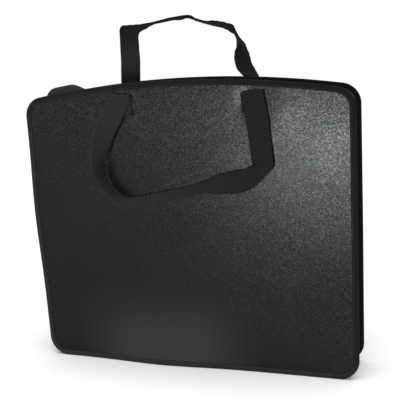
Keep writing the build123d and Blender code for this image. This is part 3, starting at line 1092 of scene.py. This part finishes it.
BACK_STRAP = [
    ((-95, 34.2, 391.6), (1, 0, 0)),
    ((-94, 34, 406.5), (1, 0, 0)),
    ((-92, 34, 433.5), (1, 0, -0.05)),
    ((-91.5, 34, 456), (1, -0.05, 0)),
    ((-91.5, 34.5, 466.5), (1, -0.1, -0.1)),
    ((-91.5, 38.5, 474.5), (0.95, -0.05, -0.35)),
    ((-92.5, 47, 478.5), (0.95, -0.05, -0.35)),
    ((-91, 61.5, 480.5), (0.95, -0.1, -0.25)),
    ((-88.5, 78, 483), (1, -0.15, -0.1)),
    ((-86, 95, 485), (1, -0.15, 0)),
    ((-83, 115.5, 487), (1, -0.2, 0)),
    ((-80, 129, 488.5), (0.95, -0.25, 0)),
    ((-74, 147, 491), (0.9, -0.4, -0.05)),
    ((-66, 159.5, 492.5), (0.6, -0.8, -0.2)),
    ((-51, 164, 493.5), (0, -0.95, -0.25)),
    ((-37.5, 159.5, 490.5), (-0.35, -0.9, 0.3)),
    ((-22, 150.5, 486), (-0.5, -0.8, 0.35)),
    ((-2.5, 133.5, 481), (-0.6, -0.75, 0.35)),
    ((10.5, 121, 478.5), (-0.6, -0.7, 0.35)),
    ((22, 110, 476.5), (-0.6, -0.65, 0.5)),
    ((35, 95, 472.5), (-0.5, -0.6, 0.6)),
    ((49, 77, 468), (-0.45, -0.55, 0.7)),
    ((59, 64.5, 462.5), (-0.2, -0.55, 0.8)),
    ((65.5, 54.5, 455.5), (-0.35, -0.75, 0.6)),
    ((69, 49, 449), (-0.2, -0.9, 0.4)),
    ((70.5, 47, 442.5), (-0.25, -0.95, 0.2)),
    ((70.5, 46, 436), (-0.45, -0.9, 0.1)),
    ((71, 45, 428), (-0.55, -0.85, 0)),
    ((73, 45, 419), (-0.5, -0.85, -0.2)),
    ((77.5, 45, 412), (-0.4, -0.9, -0.25)),
    ((83.5, 44, 404), (-0.5, -0.85, 0.2)),
    ((87, 34.2, 391.6), (-1, 0, 0)),
]


def catmull(p0, p1, p2, p3, knots, t):
    """Point at t between p1 and p2 on the smooth curve that passes the four points at the knots."""
    k0, k1, k2, k3 = knots
    a1 = p0.lerp(p1, (t - k0) / (k1 - k0))
    a2 = p1.lerp(p2, (t - k1) / (k2 - k1))
    a3 = p2.lerp(p3, (t - k2) / (k3 - k2))
    b1 = a1.lerp(a2, (t - k0) / (k2 - k0))
    b2 = a2.lerp(a3, (t - k1) / (k3 - k1))
    return b1.lerp(b2, (t - k1) / (k2 - k1))


def smooth_path(stations, step):
    """Places and width directions every step along a smooth curve through the stations."""
    places = [p for p, _ in stations]
    widths = [w for _, w in stations]
    places = [2 * places[0] - places[1]] + places + [2 * places[-1] - places[-2]]
    widths = [widths[0]] + widths + [widths[-1]]
    knots = [0.0]
    for p, q in zip(places, places[1:]):
        knots.append(knots[-1] + sqrt((q - p).length))
    fine = []
    pieces = 30
    for i in range(1, len(places) - 2):
        near = slice(i - 1, i + 3)
        for k in range(pieces):
            t = knots[i] + (knots[i + 1] - knots[i]) * k / pieces
            place = catmull(*places[near], knots[near], t)
            fine.append((place, widths[i].lerp(widths[i + 1], smooth(k / pieces, 0, 1))))
    fine.append((places[-2], widths[-2]))
    result, travelled, target = [], 0.0, 0.0
    for (p, w), (q, v) in zip(fine, fine[1:]):
        length = (q - p).length
        while target <= travelled + length and length > 0:
            t = (target - travelled) / length
            result.append((p.lerp(q, t), w.lerp(v, t)))
            target += step
        travelled += length
    result.append(fine[-1])
    return result, travelled


# Slope of the fold over each front tab's top edge, and how high its middle stands.
FRONT_FOLD = {"left": (-0.14, TAB_TOP - 0.5 * MM), "right": (0.10, TAB_TOP - 2.5 * MM)}


def strap_ends(panel, first, last):
    """Stations that lead the webbing out of its left tab and back into its right one."""
    ends = []
    for side, station in (("left", first), ("right", last)):
        x, width = station[0].x, station[1]
        if panel == "front":
            slope, crease = FRONT_FOLD[side]
            along = Vector((1, 0, slope)).normalized() * (1 if width.x > 0 else -1)
            spots = ((-32.4, -6), (-32.6, -2), (-33.2, -0.6), (-34.3, 0.0), (-35.3, -0.3), (-35.6, -1.0))
            ends.append([(Vector((x, y * MM, crease + z * MM)), along) for y, z in spots])
        else:
            spots = ((33.3, -6), (33.4, -1))
            ends.append([(Vector((x, y * MM, TAB_TOP + z * MM)), width) for y, z in spots])
    return ends[0], ends[1][::-1]


def rib_lean(u, length):
    """How far the ribs lean along the webbing for each step across it, u from its left end."""
    return 0.9 - 1.5 * smooth(u, 0.35 * length, 0.5 * length)


def make_strap(panel, points):
    """Webbing handle: a ribbed ribbon that leaves one tab, hangs or stands, and ends in the other."""
    facing = FACING[panel]
    step = 0.5 * MM
    stations = [(Vector(p) * MM, Vector(w).normalized()) for p, w in points]
    lead_in, lead_out = strap_ends(panel, stations[0], stations[-1])
    if panel == "front":
        stations = stations[1:-1]
    path, length = smooth_path(lead_in + stations + lead_out, step)
    half = WEBBING / 2
    thick = WEBBING_THICK / 2
    across = 14
    held = 9 * MM
    rings, along = [], []
    for i, (place, width) in enumerate(path):
        u = i * step
        ahead = (path[min(i + 1, len(path) - 1)][0] - path[max(i - 1, 0)][0]).normalized()
        square = (width - ahead * width.dot(ahead)).normalized()
        slanted = width.normalized()
        slanted = slanted / max(0.8, slanted.dot(square))
        side = slanted.lerp(square, smooth(min(u, length - u), held, held + 16 * MM))
        normal = ahead.cross(square).normalized()
        lean = rib_lean(u, length)
        frayed = 0.18 * MM * ripple(u, facing * 3, 0, 7 * MM)
        cup = 0.5 * MM * ripple(u, 5, facing, 60 * MM) * smooth(min(u, length - u), held, 2 * held)
        ring = []
        for way in (1, -1):
            for k in range(across + 1):
                a = (2 * k / across - 1) * way
                flat = min(1, (1 - abs(a)) / 0.06 + 0.3)
                rib = 0.10 * MM * (0.5 + 0.5 * cos(2 * pi * (u + lean * a * half) / RIB_PITCH))
                depth = thick * flat + rib * smooth(1 - abs(a), 0.02, 0.12)
                reach = half * a + (frayed if abs(a) > 0.9 else 0)
                ring.append(place + side * reach + normal * (depth * way + cup * (a * a - 0.4)))
        rings.append(ring)
        along.append(u)
    around = [(2 * k / across - 1) * way * half for way in (1, -1) for k in range(across + 1)]
    around.append(around[0])
    verts, faces, uvs = loft_mesh(rings, False, around, along)
    uvs = [[(u + rib_lean(u, length) * v, v) for u, v in face] for face in uvs]
    obj = recalculate(make_object(f"{panel}_webbing_handle", verts, faces, uvs))
    dress(obj, "webbing")
    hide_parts(f"{panel}_handle_strap")
    if panel == "front":
        # The plane leans a little, so that the hanging part counts as handle all the way down.
        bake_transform(obj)
    else:
        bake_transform(obj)


BOX_STITCH = (2.7 * MM, 2.2 * MM)  # pitch and length of the stitches that hold the handles


def make_tabs(panel):
    """Box-stitched ends of the webbing and the patches behind them."""
    facing = FACING[panel]
    for side in ("left", "right"):
        node = f"{panel}_{side}_handle_tab"
        low, high = box(node)
        centre_x, centre_z = (low.x + high.x) / 2, (low.z + high.z) / 2
        pulled = sheet_lift(centre_x, centre_z, facing)
        lift = panel_bow(centre_x, centre_z, facing) + tab_dent(centre_x, centre_z, facing)
        right, up, normal = Vector((-facing, 0, 0)), Vector((0, 0, 1)), Vector((0, facing, 0))
        thick = high.y - low.y
        middle = Vector((centre_x, facing * (SHEET_FACE + lift), centre_z))
        slant, drop = 0.0, 0.0
        if panel == "front":
            slope, crease = FRONT_FOLD[side]
            slant, drop = slope, TAB_TOP - crease + 0.6 * MM
        for k, shy in enumerate((0.0, 0.4 * MM)):
            layer = cloth_patch(f"{node}_layer_{k + 1}", middle + normal * (thick / 2 * k),
                                right, up, normal, WEBBING - 2 * shy, TAB_TOP - TAB_LOW - 2 * shy,
                                thick / 2 * 0.98, 0.8 * MM, slant, drop)
            fit(layer, "webbing", f"{panel}_panel")
        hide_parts(node)
        face = middle + normal * (thick - 0.02 * MM)
        box_w, box_h = WEBBING - 6 * MM, TAB_TOP - TAB_LOW - 7 * MM
        rows = [frame_row(face, right, up, normal, box_w, box_h),
                line_row(face, right, up, normal, -box_w / 2, -box_h / 2, box_w / 2, box_h / 2),
                line_row(face, right, up, normal, -box_w / 2, box_h / 2, box_w / 2, -box_h / 2)]
        stitches(f"{node}_stitches", rows, f"{panel}_panel", "webbing", *BOX_STITCH)

        patch_node = f"{panel}_{side}_backing_patch"
        low, high = box(patch_node)
        centre = Vector(((low.x + high.x) / 2, facing * (SHEET_BACK + pulled), (low.z + high.z) / 2))
        patch = cloth_patch(f"{patch_node}_plastic", centre, -right, up, -normal,
                            high.x - low.x, high.z - low.z, SHEET, 3 * MM)
        fit(patch, "stiffener", f"{panel}_panel", patch_node)
        back_face = centre - normal * (SHEET + 0.02 * MM)
        rows = [frame_row(back_face, right, up, -normal, box_w, box_h)]
        stitches(f"{patch_node}_stitches", rows, f"{panel}_panel", "stiffener", *BOX_STITCH)


def make_sliders():
    """Zip sliders and their pulls, shaped as in the CAD with softer edges."""
    for side in ("left", "right"):
        for kind, body in (("slider_body", f"{side}_slider"), ("slider_pull", f"{side}_pull")):
            node = f"{side}_{kind}"
            piece = soften(copy_of(node, f"{node}_enamel"), 0.25 * MM, 3)
            fit(piece, "zip_metal", body, node)


make_camera()
make_studio()
for panel_name, strap_points in (("front", FRONT_STRAP), ("back", BACK_STRAP)):
    make_sheet(panel_name)
    make_binding(panel_name)
    make_gusset(panel_name)
    make_zip_half(panel_name)
    make_tabs(panel_name)
    make_strap(panel_name, strap_points)
make_base()
make_sliders()
